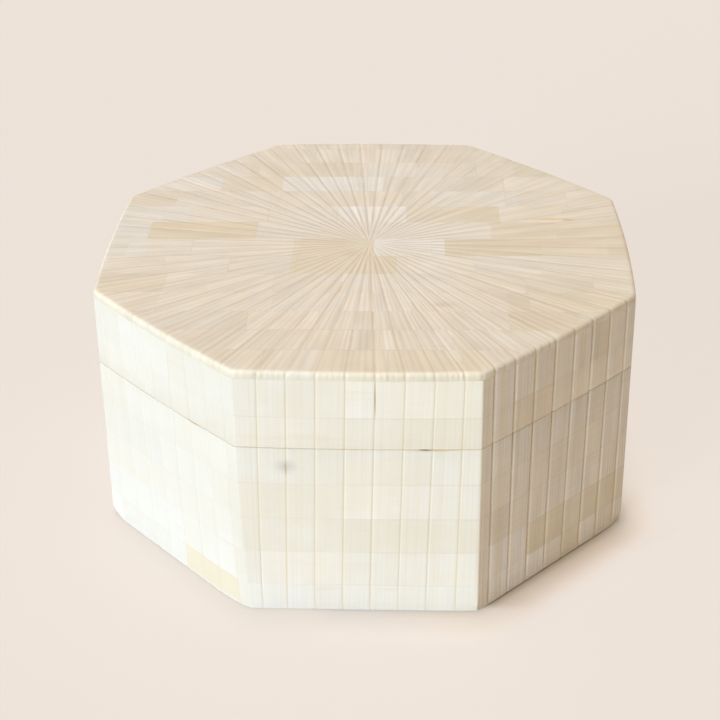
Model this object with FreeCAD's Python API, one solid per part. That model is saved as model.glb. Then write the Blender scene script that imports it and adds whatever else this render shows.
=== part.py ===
import FreeCAD, Part
import math
import os

# An octagonal wooden box with a lift-off lid, clad all over in bone tiles.
# Millimetres. The origin is the middle of the underside, +Z is up and the front faces -Y.

# Overall sizes, outside the bone
across_flats = 200.0
slanted_flats_extra = 1.5
base_height = 70.0
lid_height = 30.0

# Wooden carcass
base_wall = 9.0
bottom_board = 6.0
top_board = 8.0
board_rebate = 4.0
lip_thickness = 4.0
lip_rise = 8.0
lip_clearance = 0.5

# Felt under the box and lining on its floor
felt_thickness = 1.2
felt_margin = 4.0
lining_thickness = 1.5
lining_margin = 0.4

# Bone on the sides: courses laid downwards, crossed by upright strips
side_bone = 2.5
bone_lift = 0.5
course_height = 14.5
least_course = 4.0
strip_width = 10.0
tile_strips = 3
corner_ease = 1.0
foot_ease = 2.0

# Bone on the lid's top: rows laid from the front edge backwards
top_bone = 3.0
top_row_depth = 15.0
least_row = 4.0
long_tile = 42.0
short_tile = 25.0
least_tile = 6.0
top_ease = 1.5
# Where a long tile begins in each row, front row first
row_starts = (-32.0, -60.0, 10.0, 18.0, -8.0, -26.0, 25.0, 6.5, 10.0, 13.0, -12.0, -48.0, -25.0, -40.0)

# Grooves between the strips, which run on over the lid as a sunburst
groove_width = 0.8
groove_depth = 0.5
sunburst_hub = 15.0

# Sizes that follow from those above
across_slanted_flats = across_flats + slanted_flats_extra
total_height = base_height + lid_height
lid_wood_top = total_height - top_bone
floor_level = felt_thickness + bottom_board
lid_wall = base_wall - lip_clearance
base_wall_inside = side_bone + base_wall
lid_wall_inside = side_bone + lid_wall
lip_inside = base_wall_inside + lip_thickness

SIDES = ("front", "front_right", "right", "back_right", "back", "back_left", "left", "front_left")
TURN = 2 * math.pi / len(SIDES)
CUT_OVERRUN = 1.0


def side_axes(side):
    """Outward direction of a side, and the direction along it, left to right seen from outside."""
    angle = side * TURN - math.pi / 2
    outward = FreeCAD.Vector(math.cos(angle), math.sin(angle), 0)
    along = FreeCAD.Vector(-math.sin(angle), math.cos(angle), 0)
    return outward, along


def face_distance(side, inset):
    """Distance from the box's axis to a side, measured inset from the bone's outside."""
    across = across_slanted_flats if side % 2 else across_flats
    return across / 2 - inset


def corner(side, inset):
    """Corner between a side and the next one round."""
    outward, along = side_axes(side)
    here = face_distance(side, inset)
    there = face_distance(side + 1, inset)
    reach = (there - here * math.cos(TURN)) / math.sin(TURN)
    return outward * here + along * reach


def octagon(inset):
    return [corner(side, inset) for side in range(len(SIDES))]


def prism(outline, bottom, top):
    """Upright solid on a closed plan outline."""
    ring = [FreeCAD.Vector(point.x, point.y, bottom) for point in outline]
    plan = Part.Face(Part.makePolygon(ring + ring[:1]))
    return plan.extrude(FreeCAD.Vector(0, 0, top - bottom))


def mitred_slat(side, outer, inner, bottom, top):
    """Straight board along one side, mitred at both ends."""
    outline = [corner(side - 1, outer), corner(side, outer), corner(side, inner), corner(side - 1, inner)]
    return prism(outline, bottom, top)


def edge_cutter(side, edge_level, size, upward):
    """Wedge that takes the sharp edge off a side's top or bottom at 45 degrees."""
    outward, along = side_axes(side)
    face = face_distance(side, 0)
    rise = FreeCAD.Vector(0, 0, 1 if upward else -1)
    reach = size + CUT_OVERRUN
    level = FreeCAD.Vector(0, 0, edge_level)
    start = level - along * across_flats
    outer = outward * (face + CUT_OVERRUN)
    points = [
        start + outer + rise * CUT_OVERRUN,
        start + outer - rise * reach,
        start + outward * (face - reach) + rise * CUT_OVERRUN,
    ]
    section = Part.Face(Part.makePolygon(points + points[:1]))
    return section.extrude(along * (2 * across_flats))


def joints_down(start, end, pitch, least):
    """Places of the joints from start to end, a pitch apart, with the last piece cut to fit."""
    step = math.copysign(pitch, end - start)
    joints = [start]
    while abs(end - joints[-1]) - pitch > least:
        joints.append(joints[-1] + step)
    return joints + [end]


def strip_joints(side):
    """Places along a side where its strips meet: whole strips in the middle, cut ones at the corners."""
    along = side_axes(side)[1]
    left = corner(side - 1, 0).dot(along)
    right = corner(side, 0).dot(along)
    whole_strips = int((right - left) // strip_width) - 1
    first = (left + right - whole_strips * strip_width) / 2
    return [left] + [first + strip * strip_width for strip in range(whole_strips + 1)] + [right]


def tile_ends(strips, shift):
    """Strip numbers where the tiles of one course begin and end, staggered by a shift."""
    ends = [0]
    width = 1 + shift % tile_strips
    while ends[-1] + width < strips:
        ends.append(ends[-1] + width)
        width = tile_strips
    return ends + [strips]


def eased_corner(side, corner_side, inward_sign):
    """Two plan points that replace the sharp outer corner at one end of a side."""
    along = side_axes(side)[1]
    sharp = corner(corner_side, 0)
    mitre = corner(corner_side, side_bone) - sharp
    mitre.normalize()
    on_face = sharp + along * (inward_sign * corner_ease)
    on_mitre = sharp + mitre * (corner_ease * math.sin(TURN / 2))
    return on_mitre, on_face


def tile_outline(side, first, last):
    """Plan of a side tile from one strip joint to another, with a V groove at every joint."""
    outward, along = side_axes(side)
    joints = strip_joints(side)
    face = outward * face_distance(side, 0)
    groove_foot = outward * (face_distance(side, 0) - groove_depth)
    back = outward * face_distance(side, side_bone)
    half = along * (groove_width / 2)
    end = len(joints) - 1
    outline = []
    for joint in range(first, last + 1):
        place = along * joints[joint]
        if joint == 0:
            outline += eased_corner(side, side - 1, 1)
        elif joint == end:
            outline += reversed(eased_corner(side, side, -1))
        else:
            if joint > first:
                outline.append(face + place - half)
            outline.append(groove_foot + place)
            if joint < last:
                outline.append(face + place + half)
    right_back = corner(side, side_bone) if last == end else back + along * joints[last]
    left_back = corner(side - 1, side_bone) if first == 0 else back + along * joints[first]
    return outline + [right_back, left_back]


def side_tiles(side, levels):
    """All the bone tiles of one side, course by course from the top."""
    strips = len(strip_joints(side)) - 1
    tiles = []
    for course, (top, bottom) in enumerate(zip(levels, levels[1:])):
        ends = tile_ends(strips, side + 2 * course)
        for first, last in zip(ends, ends[1:]):
            tiles.append(prism(tile_outline(side, first, last), bottom, top))
    return tiles


def base_bone(side):
    """Tiles of one side of the base, with the foot edge eased."""
    levels = joints_down(base_height, bone_lift, course_height, least_course)
    foot = edge_cutter(side, bone_lift, foot_ease, False)
    return [tile.cut(foot) for tile in side_tiles(side, levels)]


def lid_bone(side):
    levels = joints_down(lid_wood_top, base_height, course_height, least_course)
    return side_tiles(side, levels)


def clipped_to_octagon(outline):
    """The part of a convex plan outline that lies inside the lid's outside."""
    for side in range(len(SIDES)):
        outward = side_axes(side)[0]
        limit = face_distance(side, 0)
        kept = []
        for here, there in zip(outline, outline[1:] + outline[:1]):
            here_past = here.dot(outward) - limit
            there_past = there.dot(outward) - limit
            if here_past <= 0:
                kept.append(here)
            if here_past * there_past < 0:
                kept.append(here + (there - here) * (here_past / (here_past - there_past)))
        outline = kept
    return outline


def row_half_width(y):
    """Half the lid's width along X at a distance y in front of or behind its middle."""
    slanted = face_distance(1, 0) / math.cos(TURN) - abs(y)
    return min(face_distance(2, 0), slanted)


def row_joints(start, front, back):
    """Places along X where the tiles of a row meet: a long tile, then two short ones, over and over."""
    reach = row_half_width(max(abs(front), abs(back)))
    pattern = (long_tile, short_tile, short_tile)
    period = sum(pattern)
    place = start - period * math.ceil((start + reach) / period)
    joints = [-across_flats]
    tile = 0
    while place < reach - least_tile:
        if place > least_tile - reach:
            joints.append(place)
        place += pattern[tile % len(pattern)]
        tile += 1
    return joints + [across_flats]


def sunburst_groove(end):
    """V groove cutter that widens and deepens from the hub to a place on the lid's edge."""
    ray = FreeCAD.Vector(end)
    length = ray.Length
    ray.normalize()
    across = FreeCAD.Vector(-ray.y, ray.x, 0)
    up = FreeCAD.Vector(0, 0, 1)
    growth = (length + CUT_OVERRUN - sunburst_hub) / (length - sunburst_hub)
    tip = ray * sunburst_hub + up * total_height
    mouth = ray * (length + CUT_OVERRUN) + up * total_height
    foot = mouth - up * (groove_depth * growth)
    left = mouth + across * (groove_width * growth) + up * (groove_depth * growth)
    right = mouth - across * (groove_width * growth) + up * (groove_depth * growth)
    facets = [(tip, foot, left), (tip, left, right), (tip, right, foot), (foot, right, left)]
    faces = [Part.Face(Part.makePolygon(list(facet) + [facet[0]])) for facet in facets]
    return Part.makeSolid(Part.makeShell(faces))


def groove_ends():
    """Places on the lid's edge where a groove comes over: each strip joint and each corner."""
    ends = []
    for side in range(len(SIDES)):
        outward, along = side_axes(side)
        for joint in strip_joints(side)[:-1]:
            ends.append(outward * face_distance(side, 0) + along * joint)
    return ends


def groove_meets(end, outline):
    """Whether the groove that ends at a place on the edge passes over a plan outline."""
    ray = FreeCAD.Vector(end)
    ray.normalize()
    aside = [point.x * ray.y - point.y * ray.x for point in outline]
    ahead = max(point.dot(ray) for point in outline)
    return min(aside) < groove_width and max(aside) > -groove_width and ahead > sunburst_hub


def top_tile(outline, cutters):
    """One tile of the lid's top, cut by the grooves over it and eased where it reaches the lid's edge."""
    tools = [cutter for end, cutter in cutters if groove_meets(end, outline)]
    for side in range(len(SIDES)):
        outward = side_axes(side)[0]
        nearest = max(point.dot(outward) for point in outline)
        if nearest > face_distance(side, top_ease):
            tools.append(edge_cutter(side, total_height, top_ease, True))
    tile = prism(outline, lid_wood_top, total_height)
    return tile.cut(tools) if tools else tile


def top_rows():
    """The tiles of every row of the lid's top, front row first."""
    cutters = [(end, sunburst_groove(end)) for end in groove_ends()]
    front_edge = -face_distance(0, 0)
    edges = joints_down(front_edge, face_distance(4, 0), top_row_depth, least_row)
    rows = []
    for row, (front, back) in enumerate(zip(edges, edges[1:])):
        joints = row_joints(row_starts[row % len(row_starts)], front, back)
        tiles = []
        for left, right in zip(joints, joints[1:]):
            corners = [(left, front), (right, front), (right, back), (left, back)]
            outline = clipped_to_octagon([FreeCAD.Vector(x, y, 0) for x, y in corners])
            tiles.append(top_tile(outline, cutters))
        rows.append(tiles)
    return rows


def save(node, *solids):
    """Write one sub-part, which may be a group of separate solids."""
    pieces = [solid for shape in solids for solid in shape.Solids]
    shape = pieces[0] if len(pieces) == 1 else Part.makeCompound(pieces)
    shape.exportStep("parts/" + node + ".step")


os.makedirs("parts", exist_ok=True)

# Boards, which fit into rebates along the walls, and the cloth on them
base_board = prism(octagon(base_wall_inside - board_rebate), felt_thickness, floor_level)
lid_board = prism(octagon(lid_wall_inside - board_rebate), lid_wood_top - top_board, lid_wood_top)
save("bottom_board", base_board)
save("lid_top_board", lid_board)
save("base_felt", prism(octagon(side_bone + felt_margin), 0, felt_thickness))
save("floor_lining", prism(octagon(lip_inside + lining_margin), floor_level, floor_level + lining_thickness))

# Walls, the lip that locates the lid, and the bone on each side
for number, name in enumerate(SIDES):
    wall = mitred_slat(number, side_bone, base_wall_inside, felt_thickness, base_height)
    save("base_wall_" + name, wall.cut(base_board))
    save("lip_" + name, mitred_slat(number, base_wall_inside, lip_inside, floor_level, base_height + lip_rise))
    save("base_bone_" + name, *base_bone(number))
    wall = mitred_slat(number, side_bone, lid_wall_inside, base_height, lid_wood_top)
    save("lid_wall_" + name, wall.cut(lid_board))
    save("lid_bone_" + name, *lid_bone(number))

# Bone rows over the lid's top
for number, tiles in enumerate(top_rows(), 1):
    save("lid_top_row_%02d" % number, *tiles)
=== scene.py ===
import math
import random

import bmesh
import bpy
import numpy as np
from mathutils import Matrix, Vector


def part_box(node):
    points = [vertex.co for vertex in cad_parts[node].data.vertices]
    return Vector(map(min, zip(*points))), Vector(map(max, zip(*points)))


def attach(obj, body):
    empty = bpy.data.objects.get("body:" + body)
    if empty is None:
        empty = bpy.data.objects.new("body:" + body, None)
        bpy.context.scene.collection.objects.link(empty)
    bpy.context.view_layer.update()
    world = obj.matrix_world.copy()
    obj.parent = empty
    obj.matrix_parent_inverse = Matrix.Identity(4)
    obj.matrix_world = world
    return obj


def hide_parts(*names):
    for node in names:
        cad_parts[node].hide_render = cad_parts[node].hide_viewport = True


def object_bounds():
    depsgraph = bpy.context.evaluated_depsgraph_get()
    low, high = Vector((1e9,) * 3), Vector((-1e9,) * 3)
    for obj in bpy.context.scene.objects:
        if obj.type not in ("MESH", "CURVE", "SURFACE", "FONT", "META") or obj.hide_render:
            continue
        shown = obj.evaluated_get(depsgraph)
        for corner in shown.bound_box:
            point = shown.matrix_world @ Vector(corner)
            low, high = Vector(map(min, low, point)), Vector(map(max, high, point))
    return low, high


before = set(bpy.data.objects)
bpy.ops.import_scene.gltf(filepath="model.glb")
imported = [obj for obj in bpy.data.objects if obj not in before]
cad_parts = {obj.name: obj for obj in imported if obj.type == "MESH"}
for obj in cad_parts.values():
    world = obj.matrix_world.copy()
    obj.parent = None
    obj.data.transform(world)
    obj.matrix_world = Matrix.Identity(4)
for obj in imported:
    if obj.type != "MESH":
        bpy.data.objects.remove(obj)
cad_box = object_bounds()

# The looks of an octagonal box clad in bone tiles: grooved strips on the sides, a sunburst on the lid.
# Metres. The front faces -Y, and the sides are counted round from the front, to the right first.
MM = 0.001
SIDES = ("front", "front_right", "right", "back_right", "back", "back_left", "left", "front_left")
TURN = math.tau / len(SIDES)
MITRE = math.tan(TURN / 2)
NEAR = 0.002 * MM
X_AXIS = Vector((1, 0, 0))
Y_AXIS = Vector((0, 1, 0))
Z_AXIS = Vector((0, 0, 1))

# How the bone is laid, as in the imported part
STRIP_WIDTH = 10 * MM
COURSE_HEIGHT = 14.5 * MM
LEAST_COURSE = 4 * MM
TILE_STRIPS = 3
LONG_TILE = 42 * MM
SHORT_TILE = 25 * MM
LEAST_TILE = 6 * MM
ROW_COUNT = 14
# Where a long tile begins in each row of the lid's top, front row first, in millimetres
ROW_STARTS = (-32, -60, 10, 18, -8, -26, 25, 6.5, 10, 13, -12, -48, -25, -40)

# Levels and distances read from the frame
STRAIGHT_FACE = cad_box[1].x
SLANTED_FACE = max(
    (vertex.co.x - vertex.co.y) / math.sqrt(2)
    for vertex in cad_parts["base_bone_front_right"].data.vertices
)
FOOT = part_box("base_bone_front")[0].z
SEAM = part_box("lid_wall_front")[0].z
LID_WOOD_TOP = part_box("lid_wall_front")[1].z
LID_TOP = cad_box[1].z
SIDE_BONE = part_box("base_wall_front")[0].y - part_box("base_bone_front")[0].y
LIP_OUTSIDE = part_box("lip_front")[0].y - cad_box[0].y
LIP_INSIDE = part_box("lip_front")[1].y - cad_box[0].y

# Half width and depth of the grooves on the straight and on the slanted sides
GROOVE_HALVES = (0.7 * MM, 1.55 * MM)
GROOVE_DEPTHS = (0.14 * MM, 0.58 * MM)
# How far a groove reaches to its left and to its right, as shares, on the straight and on the slanted sides
GROOVE_WAYS = ((-1.0, 1.0), (-0.45, 0.9))
# Shape of a groove: distance from its line, as a share of its half width, and share of its depth there
GROOVE_PROFILE = ((0.0, 1.0), (0.3, 0.52), (0.62, 0.17), (1.0, 0.0))
# Share of their depth that the grooves of a side keep, and how they run out towards the foot
KEPT_GROOVES = {7: 0.4}
FOOT_GROOVE = 0.2
FOOT_FADE = 6.5 * MM
# A line at this share of a groove's half width keeps the strip beside it flat
FLAT_FROM = 1.3
# Sides bow out a little towards the top: how far the lid's corners lie inside a plain octagon
BOW = 1.35 * MM
# Rounded corners of the base, of the lid's sides and of its top
BASE_ROUND = 1.6 * MM
LID_ROUND = 1.3 * MM
TOP_ROUND = 4.0 * MM
CORNER_STEPS = 3
# Eased edges at the foot, at the seam and under the rim
FOOT_IN = 0.25 * MM
FOOT_UP = 0.6 * MM
FOOT_STEPS = (0.0, 0.1, 0.35, 1.0)
SEAM_EASE = 0.22 * MM
RIM_EASE = 0.04 * MM
EDGE_STEPS = (0.0, 0.12, 0.4, 1.0)
# Joints between courses and rows: lines beside them, and how far they are sunk on the sides
JOINT_BAND = (0.12 * MM, 0.4 * MM)
JOINT_DEPTH = 0.05 * MM
# Past this distance a groove or a joint leaves no mark on the sides
FAR_GAP = 2 * MM
# Corners of the base are worn round at the foot: how much, how far up and how far along the sides
WORN_IN = 1.5 * MM
WORN_UP = 6.5 * MM
WORN_ALONG = 7.5 * MM
WORN_STEPS = (0.25, 0.5, 0.75)
# Share of that wear at the corner between each side and the next one
CORNER_WEAR = (0.3, 1, 0.9, 0.8, 1, 0.7, 1, 0.2)
# The base's corner between these two sides leans to the right towards the foot, within this reach of it
LEANING_SIDES = (7, 0)
CORNER_LEAN = 2.5 * MM
LEAN_ALONG = 16 * MM

# Sunburst on the lid: rings from the middle to the start of the rounded rim, in millimetres, then the rim
FAN_RINGS = (0, 1, 2.2, 4, 6.5, 10, 14, 19, 25, 32, 40, 48, 56, 64, 72, 80, 87, 92, 95.5, 97.4)
RIM_ROUND = 1.5 * MM
RIM_STEPS = 6
RIM_WEAR = 3 * MM
# Its grooves: half width, at most this share of a strip's width, and depth as a share of that half width
FAN_GROOVE_HALF = 1.2 * MM
FAN_GROOVE_SHARE = 0.36
FAN_GROOVE_SLOPE = 0.15
# Places for flutes across a strip, one in so many cut, so many places that share a depth, and their slope
FLUTES = 11
FLUTE_EVERY = 3
FLUTE_GROUP = 4
FLUTE_SLOPE = 0.06
# How many times deeper grooves and flutes cut into the rim's side, and grooves into its foot
RIM_NOTCH = 2.2
RIM_FLUTES = 3.0
RIM_FOOT_NOTCH = 0.3
# How deep the sunburst is carved towards each side
FAN_SIDE_SHARES = (0.85, 0.55, 0.5, 0.75, 0.9, 0.75, 0.6, 0.8)
# The lid's outline draws in at its corners, and this power keeps that near the rim
DRAW_POWER = 6
# Strips narrower than this carry less dirt in their grooves
FINE_STRIP = 1.9 * MM
# Near the middle grooves run out, so that strips run together in pairs and then in fours
PAIRS_INSIDE = (7 * MM, 24 * MM)
FOURS_INSIDE = (3 * MM, 10 * MM)
# What is left of a groove at least
LEAST_GROOVE = 0.05

# Handwork: the middle of the sunburst, and how far to the right the strips of the straight sides lie
HUB = Vector((1.2 * MM, -1.6 * MM, 0))
STRIP_SHIFT = 1.3 * MM
# How far the strips of each side lean to the left from top to foot
STRIP_LEAN = tuple(lean * MM for lean in (2.6, 0, 1.8, -0.8, 2.2, 0.6, 1.5, -3.0))
# Joints between rows of the top are turned and shifted to the front, the first few by shifts of their own
ROW_SHIFT = -2.3 * MM
FRONT_ROW_SHIFTS = (1.0 * MM, 0.0, -1.5 * MM)
ROW_TURN = math.radians(0.6)

# Edges sharper than this many degrees stay sharp on the bone, and on the lip and the felt
BONE_SHARP = 50
PLAIN_SHARP = 40
STRIP_MAP = "strips"
HAND = random.Random(11)


class Tint:
    """One value in a finish's node tree, so that finishes can be written as sums."""

    def __init__(self, tree, socket=None):
        self.tree = tree
        self.socket = socket

    def node(self, kind, settings=None, sockets=None, out=0):
        """Adds any node: its settings first, then the values or links of its sockets."""
        made = self.tree.nodes.new(kind)
        for name, value in (settings or {}).items():
            setattr(made, name, value)
        for key, value in (sockets or {}).items():
            if isinstance(value, Tint):
                self.tree.links.new(value.socket, made.inputs[key])
            else:
                made.inputs[key].default_value = value
        return Tint(self.tree, made.outputs[out])

    def math(self, operation, first, second):
        return self.node("ShaderNodeMath", {"operation": operation}, {0: first, 1: second})

    def __add__(self, other):
        return self.math("ADD", self, other)

    def __radd__(self, other):
        return self.math("ADD", other, self)

    def __sub__(self, other):
        return self.math("SUBTRACT", self, other)

    def __rsub__(self, other):
        return self.math("SUBTRACT", other, self)

    def __mul__(self, other):
        return self.math("MULTIPLY", self, other)

    def __rmul__(self, other):
        return self.math("MULTIPLY", other, self)

    def size(self):
        """This value without its sign."""
        return self.math("ABSOLUTE", self, 0.0)

    def most(self, other):
        """The larger of this value and another."""
        return self.math("MAXIMUM", self, other)

    def fade(self, none, full):
        """0 where the value is none, 1 where it is full, smooth between."""
        return self.node(
            "ShaderNodeMapRange",
            {"interpolation_type": "SMOOTHSTEP"},
            {"Value": self, "From Min": none, "From Max": full},
        )

    def mix(self, under, over):
        """Colour that goes from under to over as this value goes from 0 to 1."""
        return self.node("ShaderNodeMix", {"data_type": "RGBA"}, {0: self, 6: under, 7: over}, out=2)

    def times(self, factor):
        """Colour or vector made larger or smaller all over."""
        return self.node("ShaderNodeVectorMath", {"operation": "SCALE"}, {0: self, "Scale": factor})

    def vector(self, operation, other):
        return self.node("ShaderNodeVectorMath", {"operation": operation}, {0: self, 1: other})

    def length(self):
        return self.node("ShaderNodeVectorMath", {"operation": "LENGTH"}, {0: self}, out="Value")

    def part(self, axis):
        """One part of this vector: X, Y or Z."""
        return self.node("ShaderNodeSeparateXYZ", None, {0: self}, out=axis)

    def noise(self, specks, shift=None, detail=2.0):
        """Soft noise over this vector, with so many specks to the metre each way."""
        place = self.vector("MULTIPLY", specks)
        if shift is not None:
            place = place.vector("ADD", shift)
        return self.node("ShaderNodeTexNoise", None, {"Vector": place, "Scale": 1.0, "Detail": detail})


def new_finish(name):
    """An empty material, its shader and a Tint to start from."""
    finish = bpy.data.materials.new(name)
    finish.use_nodes = True
    shader = finish.node_tree.nodes["Principled BSDF"]
    return finish, shader, Tint(finish.node_tree)


def feed(finish, shader, **values):
    """Links or sets the shader's sockets, with spaces for the underscores of their names."""
    for name, value in values.items():
        socket = shader.inputs[name.replace("_", " ")]
        if isinstance(value, Tint):
            finish.node_tree.links.new(value.socket, socket)
        else:
            socket.default_value = value


def attribute(paint, name):
    return paint.node("ShaderNodeAttribute", {"attribute_name": name}, out="Fac")


def own_place(paint):
    """Where a point lies in the box's own frame."""
    return paint.node("ShaderNodeTexCoord", out="Object")


# Colours of the bone and of the dirt and wear on it, and of a painted shadow in a gap; the pale one also
# paints a highlight at the foot
IVORY = (0.80, 0.725, 0.59, 1)
CHALK = (0.81, 0.745, 0.63, 1)
HONEY = (0.75, 0.635, 0.43, 1)
PALE = (0.81, 0.775, 0.695, 1)
OCHRE = (0.74, 0.585, 0.36, 1)
RIB_BROWN = (0.725, 0.60, 0.435, 1)
SEAM_BROWN = (0.66, 0.46, 0.22, 1)
JOINT_GREY = (0.66, 0.57, 0.46, 1)
PAINTED_GAP_SHADE = (0.12, 0.07, 0.035, 1)
# Marks on the bone, and one painted shadow in a gap at the seam: place and reach in millimetres, colour and
# strength
BLEMISHES_AND_PAINTED_SHADE = (
    ((72, 21.5, 100), (13, 2.0, 3), (0.74, 0.44, 0.14, 1), 0.5),
    ((79, 21.0, 100), (4, 1.0, 3), (0.72, 0.34, 0.06, 1), 0.6),
    ((74, -1, 100), (16, 5, 3), (0.70, 0.46, 0.36, 1), 0.4),
    ((29, -51, 100), (6, 3, 3), (0.55, 0.42, 0.32, 1), 0.4),
    ((-24.8, -100, 62.7), (5.5, 3, 4), (0.42, 0.33, 0.29, 1), 0.4),
    ((-24.8, -100, 61.6), (0.7, 2, 4.5), (0.40, 0.27, 0.20, 1), 0.5),
    ((6.1, -100, 89.5), (0.32, 2, 10.5), (0.30, 0.16, 0.06, 1), 0.95),
    ((27, -100, 69.8), (13, 2, 0.7), (0.66, 0.44, 0.16, 1), 0.8),
    # Painted shadow: a dark gap at the seam, where the bone is nicked
    ((23, -100, 70), (3.0, 2, 0.5), PAINTED_GAP_SHADE, 1.0),
    ((-58, -84, 70), (5.5, 5.5, 0.45), (0.55, 0.33, 0.11, 1), 0.9),
)
# How the bone of the sides and of the top takes up dirt and wear, and how close its tool marks lie
SIDE_LOOK = {
    "groove_colour": (0.72, 0.565, 0.335, 1),
    "groove_reach": 0.48 * MM,
    "groove_dirt": 0.54,
    "joint_dirt": 0.42,
    "edge_colour": SEAM_BROWN,
    "edge_wear": 0.7,
    "tile_spread": 0.03,
    "lines": (330, 5, 0),
    "teeth": 600.0,
}
TOP_LOOK = {
    "groove_colour": (0.65, 0.51, 0.36, 1),
    "groove_reach": 1.0 * MM,
    "groove_dirt": 0.64,
    "joint_dirt": 0.52,
    "edge_colour": HONEY,
    "edge_wear": 0.30,
    "tile_spread": 0.035,
    "lines": (190, 5, 0),
    "teeth": 310.0,
}
# Specks to the metre in the other marks: across a strip, along it and into it, or along X, Y and Z
CLOUDS = (45, 90, 45)
STREAKS = (30, 260, 30)
SAWN_MARKS = (620, 7, 0)
WAVERING = (120, 3, 0)
HAIRLINES = (1150, 16, 0)
FILE_MARKS = (45, 1150, 0)
PATCHES = (16, 16, 16)
TICKS = (230, 900, 0)
BANDS = (150, 30, 0)
RIBS = (330, 4, 0)
# How wide a dirty joint is, how narrow its darkest line, and the darkest line of a groove
JOINT_REACH = 0.34 * MM
JOINT_CORE = 0.06 * MM
GROOVE_CORE = 0.05 * MM
# A painted highlight makes the foot pale below the first level, and wholly so below the second
PAINTED_FOOT_HIGHLIGHT = (2.0 * MM, 0.8 * MM)


class BoneMarks:
    """Tones, tool marks and dirt of the bone, as values that its finish is mixed from."""

    def __init__(self, paint, look, on_top):
        self.strip = paint.node("ShaderNodeUVMap", {"uv_map": STRIP_MAP})
        self.here = own_place(paint)
        self.shade = attribute(paint, "tile_shade")
        self.honey = attribute(paint, "tile_honey")
        self.edge = attribute(paint, "edge_wear")
        grain = attribute(paint, "tile_grain")
        own = grain * 7.0 if on_top else attribute(paint, "side_grain")
        steps = {0: grain * 37.0, 1: grain * 53.0, 2: grain * 29.0}
        shift = paint.node("ShaderNodeCombineXYZ", None, steps)
        run_on = paint.node("ShaderNodeCombineXYZ", None, {0: own})

        lie = self.here if on_top else self.strip
        self.cloud = lie.noise(CLOUDS, shift, detail=3.0)
        self.streak = lie.noise(STREAKS, shift, detail=3.0)
        self.sawn = self.strip.noise(SAWN_MARKS, run_on)
        self.line = (self.strip.noise(look["lines"], run_on) - 0.5).size().fade(0.05, 0.0)
        wobble = self.strip.noise(WAVERING, run_on, detail=1.0)
        teeth = self.strip.part("X") * look["teeth"] + wobble * 1.7 + own
        self.teeth = teeth.math("PINGPONG", teeth, 0.5)
        self.comb = self.teeth.fade(0.17, 0.0)
        self.filed = self.strip.noise(FILE_MARKS, shift)
        self.tick = self.strip.noise(TICKS, None, detail=1.0).fade(0.66, 0.76)
        self.band = self.strip.noise(BANDS, shift, detail=1.0)
        patch = self.here.noise(PATCHES, None, detail=1.0).fade(0.44, 0.58)
        self.joint = attribute(paint, "joint_gap").fade(JOINT_REACH, JOINT_CORE) * (0.25 + 0.75 * patch)
        self.groove = attribute(paint, "groove_gap").fade(look["groove_reach"], GROOVE_CORE)


def mark_top(marks, colour):
    """Lines and ribs of the sunburst, which run together towards the middle, where the finest fade."""
    radius = marks.strip.part("Y")
    out = radius.fade(30 * MM, 85 * MM)
    front = marks.here.part("Y").fade(0.0, -50 * MM)
    dusty = marks.cloud.fade(0.6, 0.4)
    rib = marks.strip.noise(RIBS, None, detail=1.5)
    ribbed = (0.4 + front * 0.6) * radius.fade(6 * MM, 30 * MM) * (1.0 - marks.edge)
    colour = (marks.sawn.fade(0.50, 0.68) * out * 0.2).mix(colour, OCHRE)
    colour = (marks.line * out * 0.3).mix(colour, RIB_BROWN)
    colour = (marks.comb * radius.fade(12 * MM, 50 * MM) * (0.14 + 0.3 * dusty)).mix(colour, RIB_BROWN)
    colour = (marks.tick * out * 0.2).mix(colour, OCHRE)
    colour = (rib.fade(0.53, 0.37) * ribbed * 0.25).mix(colour, RIB_BROWN)
    colour = (marks.teeth.fade(0.42, 0.04) * ribbed * 0.37).mix(colour, RIB_BROWN)
    colour = (radius.fade(50 * MM, 12 * MM) * (1.0 - marks.groove) * 0.45).mix(colour, PALE)
    colour = colour.times(1.01 + (marks.band - 0.5) * 0.31)
    marks.groove = marks.groove * (0.35 + 0.3 * dusty + 0.45 * radius.fade(60 * MM, 15 * MM))
    raised = marks.sawn * out * 0.3 + marks.cloud * 0.3 + rib * ribbed * 0.5
    return colour, raised - marks.teeth.fade(0.45, 0.0) * ribbed * 0.4


def mark_sides(paint, marks, colour):
    """Lines along the strips of the sides, as strong as each side shows them, and a painted highlight that
    makes the foot pale.
    """
    lined = attribute(paint, "side_lines")
    dirt = attribute(paint, "side_dirt")
    hair = marks.strip.noise(HAIRLINES, None, detail=1.0)
    uneven = (hair - 0.5) * 0.04 + (marks.filed - 0.5) * 0.05 + (marks.band - 0.5) * 0.1
    colour = (marks.sawn.fade(0.48, 0.68) * lined * 0.12).mix(colour, OCHRE)
    colour = (marks.line * lined * 0.18).mix(colour, OCHRE)
    colour = (marks.comb * lined * (0.06 + 0.21 * marks.cloud.fade(0.38, 0.6))).mix(colour, OCHRE)
    colour = (marks.tick * lined * 0.1).mix(colour, OCHRE)
    colour = colour.times(1.0 + uneven * lined)
    # Painted highlight: the foot is made pale, standing in for light thrown up from the floor
    colour = (marks.here.part("Z").fade(*PAINTED_FOOT_HIGHLIGHT) * 0.7).mix(colour, PALE)
    marks.joint = marks.joint * dirt
    marks.groove = marks.groove * dirt
    return colour, (marks.sawn * 0.4 + hair * 0.15 + marks.filed * 0.25) * lined + marks.cloud * 0.3


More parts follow.
